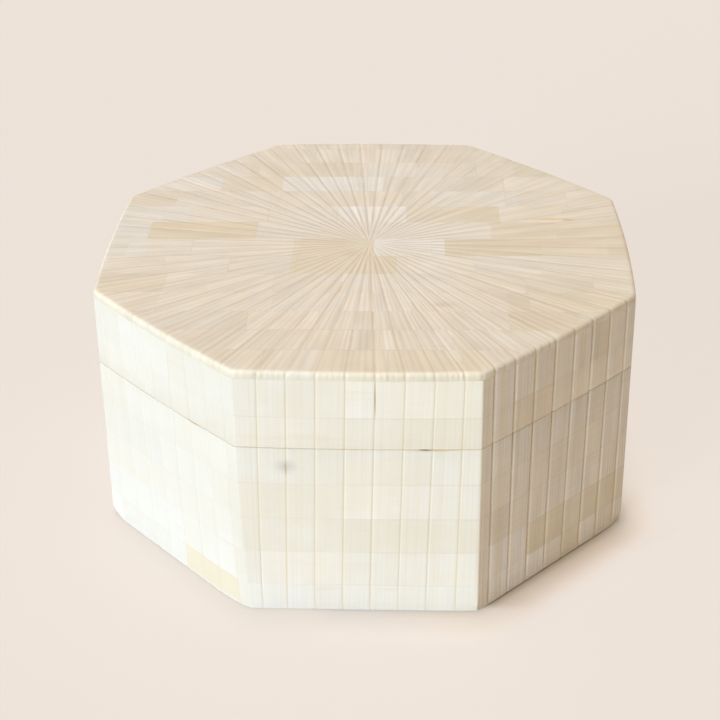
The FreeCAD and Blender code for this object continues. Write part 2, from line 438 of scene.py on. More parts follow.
def bone_finish(name, on_top):
    """Polished bone: clouded tiles, sawn lines along the strips, file marks across, dirt in the grooves, a
    painted shadow in a gap at the seam and a painted highlight at the foot of the sides.
    """
    finish, shader, paint = new_finish(name)
    look = TOP_LOOK if on_top else SIDE_LOOK
    marks = BoneMarks(paint, look, on_top)
    colour = (marks.cloud - 0.5).fade(0.0, 0.22).mix(IVORY, CHALK)
    colour = marks.honey.fade(0.0, -1.0).mix(colour, PALE)
    colour = (marks.honey + (0.5 - marks.cloud) * 0.35).fade(-0.05, 1.0).mix(colour, HONEY)
    colour = (marks.streak.fade(0.60, 0.74) * 0.22).mix(colour, OCHRE)
    if on_top:
        colour, height = mark_top(marks, colour)
    else:
        colour, height = mark_sides(paint, marks, colour)
    colour = colour.times(1.0 + marks.shade * look["tile_spread"])
    colour = (marks.joint * look["joint_dirt"]).mix(colour, JOINT_GREY)
    colour = (marks.groove * look["groove_dirt"]).mix(colour, look["groove_colour"])
    colour = (marks.joint * marks.groove * 0.6).mix(colour, OCHRE)
    colour = (marks.edge * look["edge_wear"]).mix(colour, look["edge_colour"])
    # Stains and marks on the bone, and one painted shadow in a gap at the seam
    for place, reach, stain_and_shade, strength in BLEMISHES_AND_PAINTED_SHADE:
        away = marks.here.vector("SUBTRACT", [part * MM for part in place])
        away = away.vector("DIVIDE", [part * MM for part in reach]).length()
        colour = (away.fade(1.0, 0.0) * strength).mix(colour, stain_and_shade)

    bump = paint.node("ShaderNodeBump", None, {"Strength": 1.0, "Distance": 0.1 * MM, "Height": height})
    rough = 0.40 + marks.cloud * 0.16 + marks.filed * 0.06
    feed(finish, shader, Base_Color=colour, Roughness=rough, Normal=bump, Specular_IOR_Level=0.4)
    return finish


def wood_finish(name, tones, angle):
    """Plain planed wood of a pale and a dark tone, its grain lying along a direction in plan."""
    pale, dark = tones
    pore_dark = tuple(part * 0.55 for part in dark[:3]) + (1,)
    finish, shader, paint = new_finish(name)
    turned = paint.node("ShaderNodeMapping", None, {"Vector": own_place(paint), "Rotation": (0, 0, -angle)})
    wander = turned.noise((9, 30, 30), None, detail=3.0)
    ring = turned.noise((7, 170, 170), None, detail=4.0)
    pore = turned.noise((60, 1400, 1400))
    colour = (ring * 0.7 + wander * 0.5).fade(0.35, 0.85).mix(pale, dark)
    colour = (pore.fade(0.6, 0.72) * 0.35).mix(colour, pore_dark)
    height = ring * 0.4 - pore * 0.6
    bump = paint.node("ShaderNodeBump", None, {"Strength": 0.6, "Distance": 0.15 * MM, "Height": height})
    rough = 0.52 + ring * 0.2
    feed(finish, shader, Base_Color=colour, Roughness=rough, Normal=bump, Specular_IOR_Level=0.35)
    return finish


def felt_finish(name, tones):
    """Pressed felt: short tangled fibres of two tones."""
    finish, shader, paint = new_finish(name)
    here = own_place(paint)
    tangle = here.noise((900, 900, 300), None, detail=4.0)
    patch = here.noise((40, 40, 40))
    colour = tangle.fade(0.35, 0.68).mix(*tones)
    colour = colour.times(0.88 + patch * 0.24)
    bump = paint.node("ShaderNodeBump", None, {"Strength": 1.0, "Distance": 0.3 * MM, "Height": tangle})
    feed(finish, shader, Base_Color=colour, Normal=bump)
    feed(finish, shader, Roughness=0.95, Specular_IOR_Level=0.15, Sheen_Weight=0.25)
    return finish


def face(side):
    """Distance from the box's axis to a side."""
    return SLANTED_FACE if side % 2 else STRAIGHT_FACE


def half_length(side, inset=0.0):
    """Half the length of a side, measured inset from the bone's outside."""
    here = face(side) - inset
    there = face(side + 1) - inset
    return (there - here * math.cos(TURN)) / math.sin(TURN)


def side_axes(side):
    """Outward direction of a side, and the direction along it, left to right seen from outside."""
    angle = side * TURN - math.pi / 2
    return Vector((math.cos(angle), math.sin(angle), 0)), Vector((-math.sin(angle), math.cos(angle), 0))


def corners(inset):
    """The eight corners of the box in plan, measured inset from the bone's outside."""
    points = []
    for side in range(len(SIDES)):
        outward, along = side_axes(side)
        points.append(outward * (face(side) - inset) + along * half_length(side, inset))
    return points


def strip_joints(side):
    """Places along a side where two strips meet."""
    whole = int(half_length(side) / STRIP_WIDTH - 0.5) + 1
    shift = 0.0 if side % 2 else STRIP_SHIFT
    return [STRIP_WIDTH * (number + 0.5) + shift for number in range(-whole, whole)]


def course_levels(top, bottom):
    """Levels of the joints between courses, from the top one down."""
    levels = [top]
    while levels[-1] - bottom - COURSE_HEIGHT > LEAST_COURSE:
        levels.append(levels[-1] - COURSE_HEIGHT)
    return levels + [bottom]


def tile_ends(strips, shift):
    """Strip numbers where the tiles of one course begin and end, staggered by a shift."""
    ends = [0]
    width = 1 + shift % TILE_STRIPS
    while ends[-1] + width < strips:
        ends.append(ends[-1] + width)
        width = TILE_STRIPS
    return ends + [strips]


def start_piece(name):
    """Names the primitive that was just added."""
    piece = bpy.context.object
    piece.name = name
    piece.data.name = name
    return piece


def choose(piece):
    """Makes a piece the active one and the only one selected."""
    bpy.ops.object.select_all(action="DESELECT")
    piece.select_set(True)
    bpy.context.view_layer.objects.active = piece


def start_block(name, half, front, back, bottom, top):
    """A plain block on the front side, to be shaped: half its length, then where its faces lie."""
    bpy.ops.object.select_all(action="DESELECT")
    bpy.ops.mesh.primitive_cube_add(size=1, location=(0, (front + back) / 2, (bottom + top) / 2))
    block = start_piece(name)
    block.scale = (2 * half, back - front, top - bottom)
    choose(block)
    bpy.ops.object.transform_apply(location=True, rotation=True, scale=True)
    return block


def edit(piece):
    choose(piece)
    bpy.ops.object.mode_set(mode="EDIT")
    bpy.ops.mesh.select_mode(type="VERT")


def leave_edit():
    bpy.ops.object.mode_set(mode="OBJECT")


def score(places, direction):
    """Cuts lines across the whole piece in edit mode, square to a direction."""
    for place in places:
        bpy.ops.mesh.select_all(action="SELECT")
        bpy.ops.mesh.bisect(plane_co=direction * place, plane_no=direction)


def cut_off(place, direction, beyond):
    """Cuts the piece in edit mode, square to a direction, and takes away what lies beyond or before."""
    bpy.ops.mesh.select_all(action="SELECT")
    bpy.ops.mesh.bisect(
        plane_co=direction * place,
        plane_no=direction,
        clear_inner=not beyond,
        clear_outer=beyond,
        use_fill=True,
    )


def pick(piece, wanted):
    """Selects the wanted points in edit mode."""
    bpy.ops.mesh.select_all(action="DESELECT")
    mesh = bmesh.from_edit_mesh(piece.data)
    for vertex in mesh.verts:
        vertex.select = wanted(vertex.co)
    mesh.select_flush(True)
    bmesh.update_edit_mesh(piece.data)


def on_line(value, lines):
    """Whether a value lies on one of the lines."""
    return any(abs(value - line) < NEAR for line in lines)


def push(inward):
    """Moves the picked points of a piece on the front side inwards."""
    bpy.ops.transform.translate(value=(0, inward, 0))


def narrow(share):
    """Brings the picked points of a piece on the front side closer to its middle."""
    bpy.ops.transform.resize(value=(share, 1, 1), center_override=(0, 0, 0))


def points_of(piece):
    places = np.empty(len(piece.data.vertices) * 3)
    piece.data.vertices.foreach_get("co", places)
    return places.reshape(-1, 3)


def set_points(piece, places):
    piece.data.vertices.foreach_set("co", np.ascontiguousarray(places).ravel())
    piece.data.update()


def write_attribute(piece, name, domain, values):
    layer = piece.data.attributes.new(name, "FLOAT", domain)
    layer.data.foreach_set("value", np.ascontiguousarray(values, dtype=np.float32))


def take_attribute(piece, name):
    """Reads an attribute of a piece's points and takes it off the piece."""
    layer = piece.data.attributes[name]
    values = np.empty(len(piece.data.vertices))
    layer.data.foreach_get("value", values)
    piece.data.attributes.remove(layer)
    return values


def write_tones(piece, tones):
    """Keeps the shade, honey and grain of every face on a piece."""
    for column, name in enumerate(("tile_shade", "tile_honey", "tile_grain")):
        write_attribute(piece, name, "FACE", tones[:, column])


def write_strip_map(piece, across, along):
    """Keeps each point's place across and along the strips as the piece's UV map."""
    while piece.data.uv_layers:
        piece.data.uv_layers.remove(piece.data.uv_layers[0])
    layer = piece.data.uv_layers.new(name=STRIP_MAP)
    owners = np.empty(len(piece.data.loops), dtype=np.int32)
    piece.data.loops.foreach_get("vertex_index", owners)
    layer.data.foreach_set("uv", np.column_stack((across, along))[owners].astype(np.float32).ravel())


def nearest(values, lines):
    """Distance of each value from the nearest line."""
    return np.abs(np.asarray(values)[:, None] - np.asarray(lines)[None, :]).min(axis=1)


def turned_copy(model, name, angle=0.0):
    """A copy of a piece with its own mesh, turned about the box's axis."""
    piece = model.copy()
    piece.data = model.data.copy()
    piece.name = name
    piece.data.name = name
    bpy.context.scene.collection.objects.link(piece)
    piece.data.transform(Matrix.Rotation(angle, 4, "Z"))
    return piece


def put_finish(piece, finish):
    piece.data.materials.clear()
    piece.data.materials.append(finish)


def dress(piece, finish, sharp):
    """Puts a finish on a piece and smooths it, apart from edges sharper than so many degrees."""
    put_finish(piece, finish)
    choose(piece)
    bpy.ops.object.shade_smooth_by_angle(angle=math.radians(sharp))


def corner_lines(half, radius):
    """Places towards a side's end where its rounded corner bends, and how far it has drawn in there."""
    tangent = half - radius * MITRE
    lines = []
    for step in range(CORNER_STEPS + 1):
        angle = TURN / 2 * step / CORNER_STEPS
        lines.append((tangent + radius * math.sin(angle), radius * (1 - math.cos(angle))))
    return lines


def round_in(share):
    """How far a quarter round has drawn in, as a share, at a share of its reach from the very edge."""
    return 1 - math.sqrt(1 - (1 - share) ** 2)


def groove_lines(kind, step):
    """Places along a side at a share of the grooves' half width, to the left and the right of each."""
    reach = GROOVE_HALVES[kind] * step
    return [joint + way * reach for joint in strip_joints(kind) for way in GROOVE_WAYS[kind]]


def groove_shares(across, kind):
    """Share of a groove's depth at each place along a side."""
    offsets = across[:, None] - np.asarray(strip_joints(kind))[None, :]
    offsets = offsets[np.arange(len(offsets)), np.abs(offsets).argmin(axis=1)]
    left, right = GROOVE_WAYS[kind]
    steps = offsets / (GROOVE_HALVES[kind] * np.where(offsets < 0, left, right))
    return np.interp(steps, *zip(*GROOVE_PROFILE))


def lean_corner(places, side, front, end_gap):
    """Moves the points beside a base's leaning corner to the right, most at the foot."""
    at_end = places[:, 0] > 0 if side == LEANING_SIDES[0] else places[:, 0] < 0
    outside = places[:, 1] < front + SIDE_BONE - NEAR
    near = np.clip(1 - end_gap / LEAN_ALONG, 0, 1)
    moved = CORNER_LEAN * near ** 1.5 * (1 - places[:, 2] / SEAM) ** 2 * (at_end & outside)
    places[:, 0] += moved * math.cos(side * TURN)
    inward = -moved * math.sin(side * TURN)
    places[:, 1] += np.where(outside, np.minimum(inward, front + SIDE_BONE - NEAR - places[:, 1]), 0.0)


def foot_wear(side, across, level, end_gap):
    """How far the corners of a side of the base are worn in at the foot, past their own rounding."""
    near_end = np.clip(1 - end_gap / WORN_ALONG, 0, 1)
    near_foot = np.clip(1 - (level - FOOT) / WORN_UP, 0, 1)
    bent = np.clip(BASE_ROUND * MITRE - end_gap, 0, BASE_ROUND * math.sin(TURN / 2))
    rounded = BASE_ROUND - np.sqrt(BASE_ROUND ** 2 - bent ** 2)
    worn = WORN_IN * np.where(across > 0, CORNER_WEAR[side], CORNER_WEAR[side - 1])
    return np.maximum(0, worn * (near_end * near_foot) ** 2 - rounded)


def wear_in(panel, side, levels, foot):
    """Wears a side as handwork is: grooves, bow, sunk joints, worn corners at the foot, leaning strips."""
    half = half_length(side)
    front = -face(side)
    places = points_of(panel)
    level = places[:, 2]
    kept = KEPT_GROOVES.get(side, 1.0)
    if foot:
        kept = kept * np.clip((level - FOOT) / FOOT_FADE, FOOT_GROOVE, 1)
    filled = (1 - kept) * take_attribute(panel, "groove_share") * GROOVE_DEPTHS[side % 2]
    places[:, 1] -= np.where(places[:, 1] - front < SIDE_BONE - NEAR, filled, 0.0)
    depth = places[:, 1] - front
    end_gap = half - np.abs(places[:, 0])
    reach = np.abs(places[:, 0]) / (half - depth * MITRE)
    inward = BOW * reach ** 2 * level / LID_TOP
    inward += np.where(nearest(level, levels[1:-1]) < NEAR, JOINT_DEPTH, 0.0)
    if foot:
        inward += foot_wear(side, places[:, 0], level, end_gap)
    inward = np.where(depth < SIDE_BONE - NEAR, np.clip(inward, 0, SIDE_BONE - depth - NEAR), 0.0)
    # The ends of a side stay where they are while its strips lean
    places[:, 0] -= STRIP_LEAN[side] * (1 - level / LID_WOOD_TOP) * (1 - np.minimum(reach, 1) ** 8)
    places[:, 1] += inward
    places[:, 0] -= np.sign(places[:, 0]) * inward * MITRE * reach ** 4
    if foot and side in LEANING_SIDES:
        lean_corner(places, side, front, end_gap)
    set_points(panel, places)


def eased_edges(top, bottom, foot):
    """Levels near the upper and the lower edge of a side, and how far the side has drawn in at each."""
    ease = SEAM_EASE if foot else RIM_EASE
    upper = [(top - ease * step, ease * round_in(step)) for step in EDGE_STEPS]
    if foot:
        lower = [(bottom + FOOT_UP * step, FOOT_IN * round_in(step)) for step in FOOT_STEPS]
    else:
        lower = [(bottom + SEAM_EASE * step, SEAM_EASE * round_in(step)) for step in EDGE_STEPS]
    return upper, lower


def score_panel(panel, kind, levels, rounding, edges, foot):
    """Cuts all the lines into a side that its grooves, corners, joints and edges are shaped by."""
    joints = strip_joints(kind)
    columns = [line for step, _ in GROOVE_PROFILE for line in groove_lines(kind, step)]
    columns += groove_lines(kind, FLAT_FROM)
    columns += [way * place for place, _ in rounding[:-1] for way in (-1, 1)]
    worn = [way * (half_length(kind) - WORN_ALONG * step) for step in WORN_STEPS for way in (-1, 1)]
    flat_gap = GROOVE_HALVES[kind] * max(GROOVE_WAYS[kind]) * FLAT_FROM
    columns += [place for place in worn if nearest([place], joints)[0] > flat_gap]
    rows = [level + way * band for level in levels[1:-1] for band in (0, *JOINT_BAND) for way in (-1, 1)]
    rows += [level for edge in edges for level, _ in edge[1:]]
    if foot:
        rows += [levels[-1] + WORN_UP * step for step in WORN_STEPS]
    edit(panel)
    score(sorted(set(columns)), X_AXIS)
    score(sorted(set(rows)), Z_AXIS)
    leave_edit()


def side_panel(kind, top, bottom, foot):
    """One whole side of bone for the front, grooved and rounded, straight (0) or slanted (1)."""
    half = half_length(kind)
    front = -face(kind)
    joints = strip_joints(kind)
    levels = course_levels(top, bottom)
    rounding = corner_lines(half, BASE_ROUND if foot else LID_ROUND)
    edges = eased_edges(top, bottom, foot)
    panel = start_block("side_panel", half, front, front + SIDE_BONE, bottom, top)
    score_panel(panel, kind, levels, rounding, edges, foot)

    places = points_of(panel)
    write_strip_map(panel, places[:, 0], top - places[:, 2])
    write_attribute(panel, "groove_share", "POINT", groove_shares(places[:, 0], kind))
    write_attribute(panel, "groove_gap", "POINT", np.minimum(nearest(places[:, 0], joints), FAR_GAP))
    write_attribute(panel, "joint_gap", "POINT", np.minimum(nearest(places[:, 2], levels[1:-1]), FAR_GAP))
    seam_wear = np.clip(1 - np.abs(places[:, 2] - SEAM) / SEAM_EASE, 0, 1)
    write_attribute(panel, "edge_wear", "POINT", seam_wear)

    edit(panel)
    pick(panel, lambda point: point.y > front + NEAR)
    narrow(1 - SIDE_BONE * MITRE / half)
    for step, share in GROOVE_PROFILE[:-1]:
        lines = groove_lines(kind, step)
        pick(panel, lambda point: point.y < front + NEAR and on_line(point.x, lines))
        push(GROOVE_DEPTHS[kind] * share)
    for place, inward in rounding[1:-1]:
        pick(panel, lambda point: point.y < front + NEAR and on_line(abs(point.x), [place]))
        push(inward)
    end_place, end_inward = rounding[-1]
    pick(panel, lambda point: point.y < front + NEAR and on_line(abs(point.x), [half]))
    push(end_inward)
    narrow(end_place / half)
    for level, inward in [step for edge in edges for step in edge[:-1]]:
        pick(panel, lambda point: point.y < front + SIDE_BONE - NEAR and on_line(point.z, [level]))
        push(inward)
        narrow(1 - inward * MITRE / half)
    leave_edit()
    return panel


# Bone that stands out on the sides: side, where it begins and ends along it and its level, all in
# millimetres, shade and honey
SIDE_ACCENTS = (
    (7, 5, 35, 6, 0.0, 0.6),
    *((7, 35, 42, level, -1.8, 0.0) for level in (6, 20, 34, 48, 62)),
    (0, -4, 42, 34, 0.1, 0.3),
    (0, -42, -4, 34, 0.6, 0.2),
    (0, -42, -4, 48, 0.6, 0.25),
    (0, -42, -14, 6, 1.5, -0.55),
    (0, -14, 42, 6, 1.0, -0.4),
    (0, 16, 42, 76, 0.4, 0.35),
    (1, -15, 5, 20, -0.7, 0.65),
    (1, 5, 15, 20, -0.4, 0.4),
    (1, 15, 25, 20, -0.7, 0.55),
    (1, -35, -15, 20, 1.2, -0.6),
    (1, -35, -5, 6, 1.6, -0.8),
    (1, 25, 42, 6, -0.8, -0.1),
    (1, 5, 15, 6, -0.4, 0.5),
    (1, 25, 42, 20, -0.6, 0.55),
    (1, 15, 25, 90, -0.7, 0.45),
    (1, -25, -5, 76, -0.6, 0.5),
    (1, -15, 15, 62, 0.3, -0.2),
    (1, -35, -15, 34, -0.4, 0.2),
)
# How tiles differ by chance: spread of their shade on the sides and on the top, then of their honey
SIDE_SPREAD = 0.4
TOP_SPREAD = 0.45
HONEY_MEAN = 0.03
HONEY_SPREAD = 0.12
HONEY_LIMITS = (-0.1, 0.5)
# Courses of the sides that lie below this level have so much less honey
LOW_COURSES = 30 * MM
LOW_PALING = 0.25
# Sides unlike the rest: how much less honey they have and how much brighter they are, then their share of
# dirt and of tool marks. This is partly painted light: the front is painted brighter and warmer to stand in
# for more light on it, and the front-left darker and paler, with less dirt and fewer tool marks, to stand
# in for the strong light that washes it out
SIDE_PALING = {0: -0.1, 7: 0.25}
SIDE_SHADE_AND_PAINTED_LIGHT = {0: 1.0, 1: 0.7, 7: -1.1}
SIDE_DIRT = {0: 0.85, 1: 0.8, 7: 0.35}
SIDE_LINES = {0: 0.75, 1: 2.3, 7: 0.35}
# Tool marks of each side are moved on by this much from those of the side before
GRAIN_STEP = 17.3


def tile_tone(spread):
    """Shade, honey and grain of one tile, by chance."""
    shade = max(-1.0, min(1.0, HAND.gauss(0, spread)))
    least, most = HONEY_LIMITS
    honey = max(least, min(most, HAND.gauss(HONEY_MEAN, HONEY_SPREAD)))
    return shade, honey, HAND.random()


def tone_side(piece, side, top, bottom):
    """Gives every tile of a side its own tone."""
    joints = [-half_length(side)] + strip_joints(side) + [half_length(side)]
    levels = course_levels(top, bottom)
    uv = np.empty(len(piece.data.loops) * 2)
    piece.data.uv_layers[STRIP_MAP].data.foreach_get("uv", uv)
    uv = uv.reshape(-1, 2)
    centres = np.array([uv[list(facet.loop_indices)].mean(axis=0) for facet in piece.data.polygons])
    across = centres[:, 0]
    level = top - centres[:, 1]
    tones = np.zeros((len(centres), 3))
    for course, (upper, lower) in enumerate(zip(levels, levels[1:])):
        in_course = (level < upper) & (level > lower)
        ends = tile_ends(len(joints) - 1, side + 2 * course)
        for first, last in zip(ends, ends[1:]):
            inside = in_course & (across > joints[first]) & (across < joints[last])
            tones[inside] = tile_tone(SIDE_SPREAD)
            # Partly painted light: a whole side is made brighter or darker, standing in for how the lamps
            # light it
            tones[inside, 0] += SIDE_SHADE_AND_PAINTED_LIGHT.get(side, 0.0)
            tones[inside, 1] -= SIDE_PALING.get(side, 0.0)
        if upper < LOW_COURSES:
            tones[in_course, 1] -= LOW_PALING
        for number, start, end, z, shade, honey in SIDE_ACCENTS:
            if number == side and lower < z * MM < upper:
                tones[in_course & (across > start * MM) & (across < end * MM), :2] = shade, honey
    write_tones(piece, tones)
    write_attribute(piece, "side_grain", "FACE", np.full(len(tones), GRAIN_STEP * side))
    write_attribute(piece, "side_dirt", "FACE", np.full(len(tones), SIDE_DIRT.get(side, 1.0)))
    write_attribute(piece, "side_lines", "FACE", np.full(len(tones), SIDE_LINES.get(side, 1.0)))


def lay_sides(body, top, bottom, foot, finish):
    """All eight sides of bone of the lid or the base."""
    models = [side_panel(kind, top, bottom, foot) for kind in (0, 1)]
    for side, name in enumerate(SIDES):
        piece = turned_copy(models[side % 2], f"{body}_tiles_{name}")
        wear_in(piece, side, course_levels(top, bottom), foot)
        piece.data.transform(Matrix.Rotation(side * TURN, 4, "Z"))
        tone_side(piece, side, top, bottom)
        dress(piece, finish, BONE_SHARP)
        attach(piece, body)
        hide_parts(f"{body}_bone_{name}")
    for model in models:
        bpy.data.objects.remove(model)


def fan_strips():
    """Every strip of the sunburst once round the lid: side, and where it begins and ends along the rim."""
    strips = []
    for side in range(len(SIDES)):
        half = half_length(side)
        lines = [-half] + strip_joints(side) + [half]
        strips += [(side, start, end) for start, end in zip(lines, lines[1:])]
    return strips


def fan_groove(width):
    """Half width of the grooves beside a strip of that width."""
    return min(FAN_GROOVE_HALF, FAN_GROOVE_SHARE * width)


def fan_columns(width):
    """Places across a strip of that width, and depth of its grooves at each."""
    half = fan_groove(width)
    depth = FAN_GROOVE_SLOPE * half
    edge = [(half * step, depth * share) for step, share in GROOVE_PROFILE]
    inner = width - 2 * half
    middle = [(half + inner * (number + 1) / (FLUTES + 1), 0.0) for number in range(FLUTES)]
    far = [(width - place, sunk) for place, sunk in reversed(edge[1:])]
    return edge + middle + far


def groove_left(number, ring):
    """How much of a groove is left at a ring: corners have none, and three in four run out inwards."""
    place = number % (len(strip_joints(0)) + 1)
    if place == 0:
        return LEAST_GROOVE
    if place % 4 == 3:
        return 1.0
    none, full = FOURS_INSIDE if place % 2 else PAIRS_INSIDE
    return max(LEAST_GROOVE, min(1.0, (ring - none) / (full - none)))


def flute_cut(number, place, depths, width, angle):
    """How deep a flute is cut at a place across a strip, deeper where the rim has turned by an angle."""
    index = place - len(GROOVE_PROFILE)
    if not 0 <= index < FLUTES or index % FLUTE_EVERY != 2 - number % 2:
        return 0.0
    depth = FLUTE_SLOPE * (width - 2 * fan_groove(width)) / (FLUTES + 1)
    return depths[index // FLUTE_GROUP] * depth * (1 + RIM_FLUTES * math.sin(angle))


def plan_draw(side, place):
    """How far the lid's outline lies inside the plain octagon at a place along a side."""
    half = half_length(side)
    bent = max(0.0, abs(place) - (half - TOP_ROUND * MITRE))
    return BOW * (place / half) ** 2 + TOP_ROUND - math.sqrt(TOP_ROUND ** 2 - bent ** 2)


def slab_place(side, rim_place, share, cut):
    """Where a point of the top lies in plan: how far along a side, how far out, and cut in at the rim."""
    outward, along = side_axes(side)
    point = (outward * face(side) + along * rim_place) * share + HUB * (1 - share)
    drawn = plan_draw(side, rim_place) * share ** DRAW_POWER
    return point * (1 - drawn / STRAIGHT_FACE) * (1 - cut / STRAIGHT_FACE)


def slab_rings():
    """Rings of the top from the middle to the rim's foot: distance out, turn of the rim and drop."""
    rings = [(ring * MM, 0.0, 0.0) for ring in FAN_RINGS]
    for step in range(RIM_STEPS + 1):
        angle = math.pi / 2 * step / RIM_STEPS
        ring = STRAIGHT_FACE - RIM_ROUND + RIM_ROUND * math.sin(angle)
        rings.append((ring, angle, RIM_ROUND * (1 - math.cos(angle))))
    thick = LID_TOP - LID_WOOD_TOP
    return rings + [(STRAIGHT_FACE, math.pi / 2, drop) for drop in (thick - RIM_EASE, thick)]


def sunburst_slab():
    """The lid's whole top as one slab, carved with grooves that meet in the middle."""
    strips = fan_strips()
    rings = slab_rings()
    foot_row = len(rings) - 1
    per_strip = len(fan_columns(STRIP_WIDTH))
    columns = per_strip * len(strips) + 1
    flutes = [[HAND.uniform(0.0, 1.0) for _ in range(3)] for _ in strips]

    places = np.zeros((len(rings), columns, 3))
    across, along, gaps, rims = np.zeros((4, len(rings), columns))
    run = 0.0
    for number, (side, start, end) in enumerate(strips):
        for row, (ring, angle, drop) in enumerate(rings):
            share = ring / STRAIGHT_FACE
            width = (end - start) * share
            near = groove_left(number, ring)
            far = groove_left(number + 1, ring)
            fine = max(1.0, FINE_STRIP / max(width * (3 - near - far), NEAR))
            notch = RIM_NOTCH if row < foot_row - 1 else RIM_FOOT_NOTCH
            for place, (x, sunk) in enumerate(fan_columns(width)):
                sunk *= near if x < width / 2 else far
                sunk += flute_cut(number, place, flutes[number], width, angle)
                sunk *= 1 - (1 - FAN_SIDE_SHARES[side]) * math.cos(angle)
                rim_place = start + (x / share if share else 0.0)
                point = slab_place(side, rim_place, share, notch * sunk * math.sin(angle))
                if row == foot_row:
                    point *= 1 - RIM_EASE / STRAIGHT_FACE
                spot = (row, number * per_strip + place)
                places[spot] = (point.x, point.y, LID_TOP - drop - sunk * math.cos(angle))
                across[spot] = run + rim_place - start
                along[spot] = ring + drop
                gaps[spot] = min(x / near, (width - x) / far) * fine
                rims[spot] = max(0.0, min(1.0, 1 - (STRAIGHT_FACE - ring) / RIM_WEAR))
        run += end - start
    for layer in (places, along, gaps, rims):
        layer[:, -1] = layer[:, 0]
    across[:, -1] = run

    bpy.ops.object.select_all(action="DESELECT")
    bpy.ops.mesh.primitive_grid_add(x_subdivisions=columns - 1, y_subdivisions=len(rings) - 1, size=1)
    slab = start_piece("sunburst_slab")
    set_points(slab, places.reshape(-1, 3))
    write_strip_map(slab, across.ravel(), along.ravel())
    write_attribute(slab, "groove_gap", "POINT", gaps.ravel())
    write_attribute(slab, "edge_wear", "POINT", rims.ravel())
    edit(slab)
    bpy.ops.mesh.select_all(action="SELECT")
    bpy.ops.mesh.remove_doubles(threshold=NEAR)
    pick(slab, lambda point: point.z < LID_WOOD_TOP + NEAR)
    bpy.ops.mesh.edge_face_add()
    bpy.ops.mesh.select_all(action="SELECT")
    bpy.ops.mesh.normals_make_consistent(inside=False)
    leave_edit()
    return slab


def row_joints(row, reach):
    """Places along X where the tiles of a row meet: a long tile, then two short ones, over and over."""
    pattern = (LONG_TILE, SHORT_TILE, SHORT_TILE)
    period = sum(pattern)
    start = ROW_STARTS[row] * MM
    place = start - period * math.ceil((start + reach) / period)
    joints = []
    tile = 0
    while place < reach - LEAST_TILE:
        if place > LEAST_TILE - reach:
            joints.append(place)
        place += pattern[tile % len(pattern)]
        tile += 1
    return joints


# Bone that stands out on the lid's top: row from the front, where it begins and ends in millimetres,
# shade and honey
TOP_ACCENTS = (
    (0, -100, -30, -0.1, 0.4),
    (0, -12, 42, 0.2, 0.5),
    (1, -25, -5, 0.0, 0.35),
    (2, 52, 77, -0.5, 0.5),
    (3, -40, 20, 0.0, -0.2),
    (3, 52, 100, -0.3, 0.4),
    (4, -100, -73, -1.1, 0.65),
    (5, -28, 12, 0.1, 0.95),
    (5, 41, 100, -0.2, -0.3),
    (6, -100, -84, -0.3, -0.5),
    (6, -28, 3, 0.1, 1.0),
    (6, 3, 30, 1.5, -0.8),
    (6, 30, 67, -1.0, 0.6),
    (6, 67, 100, -0.4, 0.35),
    (7, -100, -85.5, -0.3, -0.5),
    (7, -85.5, -43.5, -0.7, 0.95),
    (7, 0, 48, 0.0, -0.3),
    (7, 48, 100, -0.3, 0.4),
    (8, -100, -72, -0.2, -0.5),
    (8, -12, 15, 1.1, -0.7),
    (8, 15, 52, -0.3, 0.55),
    (9, -100, -79, -0.8, 0.6),
    (9, -40, 14, -0.3, 0.35),
    (9, 25, 60, 0.0, -0.4),
    (10, -100, -62, -0.1, -0.4),
    (10, -62, -37, -0.8, 0.6),
    (10, -37, 5, 0.2, -0.8),
    (11, -52, -8, -0.5, 0.5),
    (11, -3, 30, 0.2, -0.4),
    (11, 60, 90, -0.3, 0.4),
)
# The top is darker towards the right and, past a row, towards the back, and brighter towards the left
DARKER_RIGHT = 1.1
DARKER_BACK = 0.3
BACK_ROW = 8
BRIGHTER_LEFT = 0.1
# It has so much less honey all over, and so much more towards the right
TOP_PALING = 0.14
HONEY_RIGHT = 0.25
# Joints at the tiles' ends are this many times narrower than those between rows
END_JOINTS = 2.2


def tone_row(piece, row, joints):
    """Gives every tile of a row on the lid's top its own tone, warmer towards the right."""
    ends = [-1.0] + joints + [1.0]
    across = np.array([facet.center.x for facet in piece.data.polygons])
    tones = np.zeros((len(across), 3))
    for first, last in zip(ends, ends[1:]):
        tones[(across > first) & (across < last)] = tile_tone(TOP_SPREAD)
    for number, start, end, shade, honey in TOP_ACCENTS:
        if number == row:
            tones[(across > start * MM) & (across < end * MM), :2] = shade, honey
    tones[:, 0] -= DARKER_RIGHT * np.maximum(across, 0) / STRAIGHT_FACE
    tones[:, 0] -= DARKER_BACK * max(0, row - BACK_ROW)
    tones[:, 0] -= BRIGHTER_LEFT * np.minimum(across, 0) / STRAIGHT_FACE
    tones[:, 1] += HONEY_RIGHT * across / STRAIGHT_FACE - TOP_PALING
    write_tones(piece, tones)


def row_half_width(y):
    """Half the lid's width at a distance in front of or behind its middle."""
    return min(STRAIGHT_FACE, SLANTED_FACE * math.sqrt(2) - abs(y))


def row_edge(joint):
    """Place of the joint behind a row of the top, counted from the front row."""
    shift = FRONT_ROW_SHIFTS[joint] if joint < len(FRONT_ROW_SHIFTS) else ROW_SHIFT
    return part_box(f"lid_top_row_{joint + 1:02d}")[1].y + shift


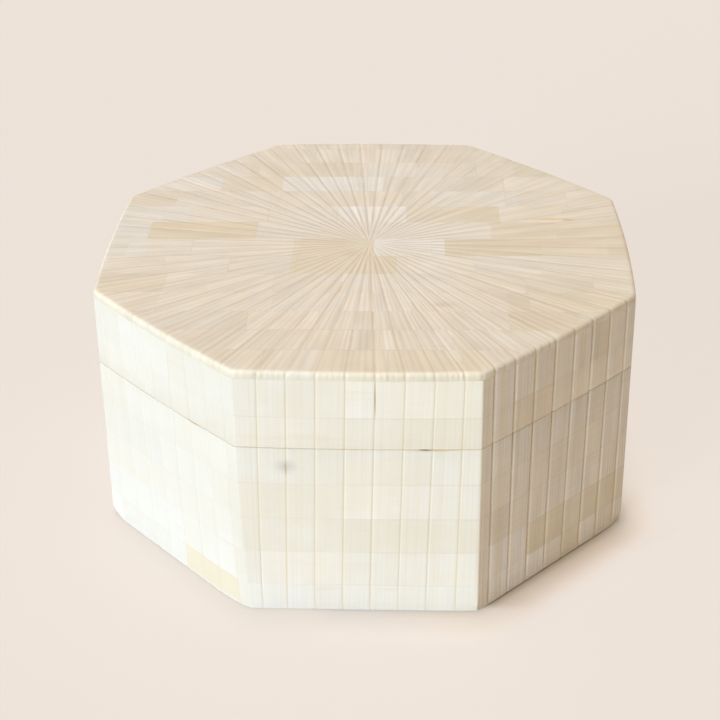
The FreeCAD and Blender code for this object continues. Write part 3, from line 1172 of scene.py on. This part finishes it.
def lay_top(finish):
    """The lid's top, cut from one carved slab into rows of tiles."""
    slab = sunburst_slab()
    across_rows = Vector((-math.sin(ROW_TURN), math.cos(ROW_TURN), 0))
    band = JOINT_BAND[1]
    for row in range(ROW_COUNT):
        node = f"lid_top_row_{row + 1:02d}"
        low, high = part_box(node)
        joints = row_joints(row, row_half_width(max(abs(low.y), abs(high.y))))
        accents = [end * MM for number, *ends, _, _ in TOP_ACCENTS if number == row for end in ends]
        inner_edges = []
        piece = turned_copy(slab, f"top_tiles_{row + 1:02d}")
        edit(piece)
        if row > 0:
            inner_edges.append(row_edge(row - 1))
            cut_off(inner_edges[-1], across_rows, beyond=False)
            score([inner_edges[-1] + band], across_rows)
        if row < ROW_COUNT - 1:
            inner_edges.append(row_edge(row))
            cut_off(inner_edges[-1], across_rows, beyond=True)
            score([inner_edges[-1] - band], across_rows)
        score([joint + way * band for joint in joints for way in (-1, 0, 1)], X_AXIS)
        score(accents, X_AXIS)
        leave_edit()
        places = points_of(piece)
        end_gap = END_JOINTS * nearest(places[:, 0], joints)
        gap = np.minimum(end_gap, nearest(places @ np.array(across_rows), inner_edges))
        write_attribute(piece, "joint_gap", "POINT", np.minimum(gap, band))
        tone_row(piece, row, joints)
        dress(piece, finish, BONE_SHARP)
        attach(piece, "lid")
        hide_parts(node)
    bpy.data.objects.remove(slab)


# The lip's upper edges are rounded over
LIP_BEVEL = 1.2 * MM
LIP_STEPS = 4


def lip_slat(kind):
    """One slat of the lip for the front, mitred, with its upper edges rounded over."""
    low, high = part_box("lip_front")
    outer = half_length(kind, LIP_OUTSIDE)
    inner = half_length(kind, LIP_INSIDE)
    front = LIP_OUTSIDE - face(kind)
    back = LIP_INSIDE - face(kind)
    slat = start_block("lip_slat", outer, front, back, low.z, high.z)
    edit(slat)
    pick(slat, lambda point: point.y > back - NEAR)
    narrow(inner / outer)
    bpy.ops.mesh.select_all(action="DESELECT")
    mesh = bmesh.from_edit_mesh(slat.data)
    for line in mesh.edges:
        ends = [vertex.co for vertex in line.verts]
        level = all(abs(end.z - high.z) < NEAR for end in ends)
        line.select_set(level and abs(ends[0].y - ends[1].y) < NEAR)
    bmesh.update_edit_mesh(slat.data)
    bpy.ops.mesh.bevel(offset=LIP_BEVEL, segments=LIP_STEPS, affect="EDGES")
    leave_edit()
    return slat


def fit_lip(finishes):
    """The eight slats that line the base and locate the lid."""
    models = [lip_slat(kind) for kind in (0, 1)]
    for side, name in enumerate(SIDES):
        piece = turned_copy(models[side % 2], f"lip_slat_{name}", side * TURN)
        dress(piece, finishes[side % len(finishes)], PLAIN_SHARP)
        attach(piece, "base")
        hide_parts(f"lip_{name}")
    for model in models:
        bpy.data.objects.remove(model)


# Felt: how close its points lie, and how uneven its pile is
FELT_STEP = 4 * MM
PILE = 0.25 * MM
PILE_SEED = 5


def felt_octagon(name, node, finish, under):
    """A cut octagon of felt in a node's place, with an uneven pile above or under it, and its flat size."""
    low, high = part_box(node)
    outline = corners(STRAIGHT_FACE - high.y)
    bpy.ops.object.select_all(action="DESELECT")
    bpy.ops.mesh.primitive_circle_add(vertices=len(SIDES), radius=high.y, fill_type="NGON")
    piece = start_piece(name)
    set_points(piece, np.array([(corner.x, corner.y, low.z) for corner in outline]))
    edit(piece)
    bpy.ops.mesh.select_all(action="SELECT")
    bpy.ops.mesh.extrude_region_move(TRANSFORM_OT_translate={"value": (0, 0, high.z - low.z)})
    bpy.ops.mesh.select_all(action="SELECT")
    bpy.ops.mesh.normals_make_consistent(inside=False)
    most = int((high.y - MM) / FELT_STEP)
    lines = [FELT_STEP * number for number in range(-most, most + 1)]
    score(lines, X_AXIS)
    score(lines, Y_AXIS)
    leave_edit()
    places = points_of(piece)
    shown = np.abs(places[:, 2] - (low.z if under else high.z)) < NEAR
    chance = np.random.default_rng(PILE_SEED)
    places[shown, 2] += chance.uniform(0, PILE, shown.sum()) * (1 if under else -1)
    set_points(piece, places)
    dress(piece, finish, PLAIN_SHARP)
    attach(piece, "base")
    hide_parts(node)
    across = 2 * high.y
    area = sum(a.x * b.y - b.x * a.y for a, b in zip(outline, outline[1:] + outline[:1])) / 2
    return piece, (across, across), area


def dress_carcass(finishes):
    """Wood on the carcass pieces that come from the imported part."""
    for name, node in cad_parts.items():
        if name in ("bottom_board", "lid_top_board"):
            put_finish(node, finishes[0])
        elif "_wall_" in name:
            side = SIDES.index(name.split("_wall_")[1])
            put_finish(node, finishes[side % len(finishes)])


FLOOR_SIZE = 8
FLOOR_COLOUR = (0.80, 0.732, 0.672, 1)
# Painted shadow near the foot on the right: darker floor at the contact, warmer further out as if lit from
# the bone
PAINTED_CONTACT_SHADOW = (0.74, 0.62, 0.47, 1)
PAINTED_WARM_SHADOW = (0.87, 0.75, 0.615, 1)
BACKDROP = (0.864, 0.784, 0.708, 1)
# Where the box's shadow shows most on the floor, and how far it reaches before the floor looks even
SHADOW_PLACE = (60 * MM, -85 * MM, 0)
SHADOW_REACH = 85 * MM
# The floor's colour holds a painted warm shadow on the right, from the first of these places on, and wholly
# so from the second
PAINTED_SHADOW_RIGHT = (0.0, 40 * MM)
# How even the floor looks at most, along the foot of the front side, and how much sooner on the left.
# Along the front foot and on the left this glow is painted light that lifts the box's shadow near the foot
EVEN_MOST = 0.75
EVEN_FRONT = 0.72
EVEN_LEFT = 8 * MM


def seen_directly(paint):
    """1 for what the camera sees, itself or by reflection, and 0 for light that falls on other things."""
    rays = ("Is Camera Ray", "Is Glossy Ray", "Is Transmission Ray")
    camera, glossy, through = (paint.node("ShaderNodeLightPath", out=ray) for ray in rays)
    return camera.most(glossy).most(through)


def set_floor():
    """A wide pale floor that looks even far off and keeps the box's shadow, with a painted shadow in its
    colour near the foot on the right.
    """
    bpy.ops.object.select_all(action="DESELECT")
    bpy.ops.mesh.primitive_plane_add(size=FLOOR_SIZE)
    floor = start_piece("floor")
    finish, shader, paint = new_finish("pale_floor")
    here = own_place(paint)
    x = here.part("X")
    y = here.part("Y")
    slanted = (x.size() + y.size()) * math.sqrt(0.5)
    gap = x.size().most(y.size()).most(slanted) - STRAIGHT_FACE
    right = x.fade(*PAINTED_SHADOW_RIGHT)
    # Painted shadow: the floor is darker at the foot's contact and warmer further out, on the right half
    painted_shadow = gap.fade(0.5 * MM, 4.5 * MM).mix(PAINTED_CONTACT_SHADOW, PAINTED_WARM_SHADOW)
    colour = (right * gap.fade(20 * MM, 5 * MM)).mix(FLOOR_COLOUR, painted_shadow)
    feed(finish, shader, Base_Color=colour, Roughness=0.9, Specular_IOR_Level=0.1)

    far_off = here.vector("SUBTRACT", SHADOW_PLACE).length().fade(0.5 * SHADOW_REACH, SHADOW_REACH)
    beyond = (gap + (1.0 - right) * EVEN_LEFT).fade(8 * MM, 26 * MM)
    # Painted light: the floor glows along the foot of the front side, lifting the box's shadow there
    front = y.fade(-94 * MM, -99 * MM) * x.fade(76 * MM, 48 * MM) * EVEN_FRONT
    even = far_off.most(beyond).most(front) * EVEN_MOST * seen_directly(paint)
    glow = paint.node("ShaderNodeEmission", None, {"Color": BACKDROP, "Strength": 1.0})
    lit = Tint(finish.node_tree, shader.outputs["BSDF"])
    mixed = paint.node("ShaderNodeMixShader", None, {0: even, 1: lit, 2: glow})
    finish.node_tree.links.new(mixed.socket, finish.node_tree.nodes["Material Output"].inputs["Surface"])
    put_finish(floor, finish)


# Soft lamps: name, degrees left of the front, height and width in degrees, strength and colour
LAMPS = (
    ("window", 40, 10, 30, 4.0, (0.61, 0.785, 0.975)),
    ("ceiling", 140, 86, 12, 2.04, (0.955, 0.955, 1.0)),
)
ROOM_LIGHT = (0.21, 0.147, 0.08, 1)


def set_lights():
    """A wide low window from the front left, a soft light overhead and a warm room round them."""
    for name, azimuth, height, width, strength, colour in LAMPS:
        lamp = bpy.data.lights.new(name, "SUN")
        lamp.energy = strength
        lamp.color = colour
        lamp.angle = math.radians(width)
        light = bpy.data.objects.new(name, lamp)
        turn = math.radians(azimuth)
        rise = math.radians(height)
        level = math.cos(rise)
        towards = Vector((-math.sin(turn) * level, -math.cos(turn) * level, math.sin(rise)))
        light.rotation_euler = towards.to_track_quat("Z", "Y").to_euler()
        bpy.context.scene.collection.objects.link(light)

    world = bpy.data.worlds.new("room")
    bpy.context.scene.world = world
    world.use_nodes = True
    room = Tint(world.node_tree)
    ambient = room.node("ShaderNodeBackground", None, {"Color": ROOM_LIGHT, "Strength": 1.0})
    backdrop = room.node("ShaderNodeBackground", None, {"Color": BACKDROP, "Strength": 1.0})
    mixed = room.node("ShaderNodeMixShader", None, {0: seen_directly(room), 1: ambient, 2: backdrop})
    world.node_tree.links.new(mixed.socket, world.node_tree.nodes["World Output"].inputs["Surface"])


CAMERA_PLACE = (0.02072, -0.53885, 0.36054)
CAMERA_YAW = math.radians(-2.541)
CAMERA_PITCH = math.radians(30.157)
CAMERA_ROLL = math.radians(-0.753)
CAMERA_LENS = 77.365
CAMERA_SENSOR = 36


def set_camera():
    """The camera where the photograph was taken from."""
    data = bpy.data.cameras.new("camera")
    data.lens = CAMERA_LENS
    data.sensor_width = CAMERA_SENSOR
    camera = bpy.data.objects.new("camera", data)
    aim = Matrix.Rotation(-CAMERA_YAW, 3, "Z") @ Matrix.Rotation(math.pi / 2 - CAMERA_PITCH, 3, "X")
    camera.rotation_euler = (aim @ Matrix.Rotation(CAMERA_ROLL, 3, "Z")).to_euler()
    camera.location = CAMERA_PLACE
    bpy.context.scene.collection.objects.link(camera)
    bpy.context.scene.camera = camera


# Pale and dark tones of the woods, and body and fibre of the felts
CARCASS_WOOD = ((0.46, 0.30, 0.17, 1), (0.30, 0.175, 0.09, 1))
LIP_WOOD = ((0.52, 0.36, 0.21, 1), (0.37, 0.23, 0.12, 1))
LINING_FELT = ((0.43, 0.36, 0.28, 1), (0.58, 0.50, 0.40, 1))
FOOT_FELT = ((0.10, 0.085, 0.07, 1), (0.16, 0.14, 0.12, 1))
# The grain follows each side, and opposite sides share a finish
GRAIN_TURNS = range(len(SIDES) // 2)


def main():
    bone_sides = bone_finish("bone_strips", on_top=False)
    bone_top = bone_finish("bone_sunburst", on_top=True)
    carcass = [wood_finish(f"carcass_wood_{turn}", CARCASS_WOOD, turn * TURN) for turn in GRAIN_TURNS]
    lips = [wood_finish(f"lip_wood_{turn}", LIP_WOOD, turn * TURN) for turn in GRAIN_TURNS]
    lining = felt_finish("lining_felt", LINING_FELT)
    felt = felt_finish("foot_felt", FOOT_FELT)

    lay_sides("base", SEAM, FOOT, True, bone_sides)
    lay_sides("lid", LID_WOOD_TOP, SEAM, False, bone_sides)
    lay_top(bone_top)
    fit_lip(lips)
    piece, flat, area = felt_octagon("lining", "floor_lining", lining, False)
    piece, flat, area = felt_octagon("foot_felt", "base_felt", felt, True)
    dress_carcass(carcass)
    set_floor()
    set_lights()
    set_camera()
    bpy.context.scene.view_settings.view_transform = "Standard"


main()
